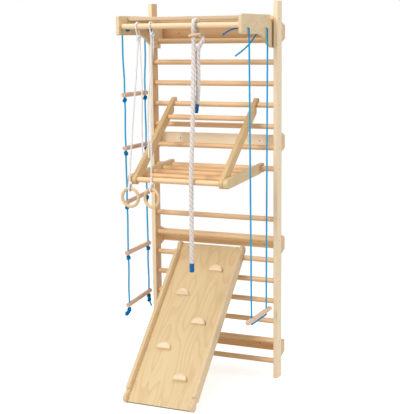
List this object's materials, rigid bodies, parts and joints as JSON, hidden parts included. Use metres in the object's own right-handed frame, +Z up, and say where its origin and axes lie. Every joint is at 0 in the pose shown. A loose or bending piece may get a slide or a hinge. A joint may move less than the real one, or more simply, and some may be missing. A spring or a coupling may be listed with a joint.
{
  "type": "wall bar climbing set with slide board",
  "caption": "Wooden wall-bar climbing frame with a hook-on climbing board, folding table, pull-up bar, climbing rope, gym rings, rope ladder and trapeze swing.",
  "frame": {"origin": "on the floor, below the middle of the set without its ropes", "axes": "+X to the viewer's right across the wall, +Y towards the wall, +Z up"},
  "size_m": [0.8, 0.829, 2.16],
  "materials": {
    "pine": "satin",
    "rung_pine": "satin",
    "plywood": "satin",
    "pale_wood": "satin",
    "beech": "satin",
    "ring_wood": "satin",
    "steel": "satin",
    "blue_rope": "matt",
    "white_cord": "matt",
    "twisted_rope": "matt",
    "whipping": "matt"
  },
  "bodies": {
    "wall_frame": {"post_left_lower": "pine", "post_left_upper": "pine", "post_right_lower": "pine", "post_right_upper": "pine", "joint_dowels": "rung_pine", "rung_01": "rung_pine", "rung_02": "rung_pine", "rung_03": "rung_pine", "rung_04": "rung_pine", "rung_05": "rung_pine", "rung_06": "rung_pine", "rung_07": "rung_pine", "rung_08": "rung_pine", "rung_09": "rung_pine", "rung_10": "rung_pine", "rung_11": "rung_pine", "rung_12": "rung_pine", "rung_13": "rung_pine", "rung_14": "rung_pine", "rung_15": "rung_pine", "rung_16": "rung_pine", "rung_screws": "steel", "wall_spacers_left": "pine", "wall_spacers_right": "pine", "cross_board_1": "pine", "cross_board_2": "pine", "cross_board_3": "pine", "cross_board_4": "pine", "bracket_left": "pine", "bracket_right": "pine", "pull_up_bar": "rung_pine", "top_board": "pine", "bracket_screws": "steel", "table_arm_left": "pine", "table_arm_right": "pine", "table_arm_dowel": "rung_pine", "table_arm_screws": "steel", "bracket_rope_ends": "blue_rope"},
    "seat": {"table_front_bar": "rung_pine", "seat_rail_left": "pine", "seat_rail_right": "pine", "seat_rungs": "rung_pine", "seat_screws": "steel"},
    "climbing_board": {"slide_board": "plywood", "slide_rail_left": "pine", "slide_rail_right": "pine", "slide_holds": "pale_wood", "slide_screws": "steel"},
    "hanging_rope": {"climbing_rope": "twisted_rope", "rope_whippings": "whipping", "rope_ring": "ring_wood"},
    "left_cord": {"ring_cord_left": "white_cord"},
    "right_cord": {"ring_cord_right": "white_cord"},
    "left_ring": {"gym_ring_left": "ring_wood"},
    "right_ring": {"gym_ring_right": "ring_wood"},
    "rope_ladder": {"ladder_ropes": "blue_rope", "ladder_rungs": "beech"},
    "trapeze": {"trapeze_rope": "blue_rope", "trapeze_bar": "beech"}
  },
  "joints": [
    {"name": "seat_fold", "type": "hinge", "parent": "wall_frame", "child": "seat", "pos_m": [0, -0.15946, 1.199], "axis": [1, 0, 0], "range_deg": [0, 8.5]},
    {"name": "board_lift", "type": "hinge", "parent": "wall_frame", "child": "climbing_board", "pos_m": [0, 0.32754, 0.695], "axis": [-1, 0, 0], "range_deg": [0, 25]},
    {"name": "rope_swing", "type": "hinge", "parent": "wall_frame", "child": "hanging_rope", "pos_m": [0, -0.11546, 2.028], "axis": [-1, 0, 0], "range_deg": [0, 40]},
    {"name": "left_ring_swing", "type": "hinge", "parent": "wall_frame", "child": "left_cord", "pos_m": [0, -0.11546, 2.028], "axis": [-1, 0, 0], "range_deg": [0, 40]},
    {"name": "right_ring_swing", "type": "hinge", "parent": "wall_frame", "child": "right_cord", "pos_m": [0, -0.11546, 2.028], "axis": [-1, 0, 0], "range_deg": [0, 40]},
    {"name": "left_ring_tilt", "type": "hinge", "parent": "left_cord", "child": "left_ring", "pos_m": [-0.279, -0.19386, 1.153], "axis": [1, 0, 0], "range_deg": [-40, 40]},
    {"name": "right_ring_tilt", "type": "hinge", "parent": "right_cord", "child": "right_ring", "pos_m": [-0.155, -0.17926, 1.153], "axis": [0.9724, -0.2334, 0], "range_deg": [-40, 40]},
    {"name": "ladder_swing", "type": "hinge", "parent": "wall_frame", "child": "rope_ladder", "pos_m": [-0.375, 0.06604, 1.99507], "axis": [0, 1, 0], "range_deg": [-2, 30]},
    {"name": "trapeze_swing", "type": "hinge", "parent": "wall_frame", "child": "trapeze", "pos_m": [0.375, 0.06604, 1.99507], "axis": [0, -1, 0], "range_deg": [-2, 30]}
  ]
}
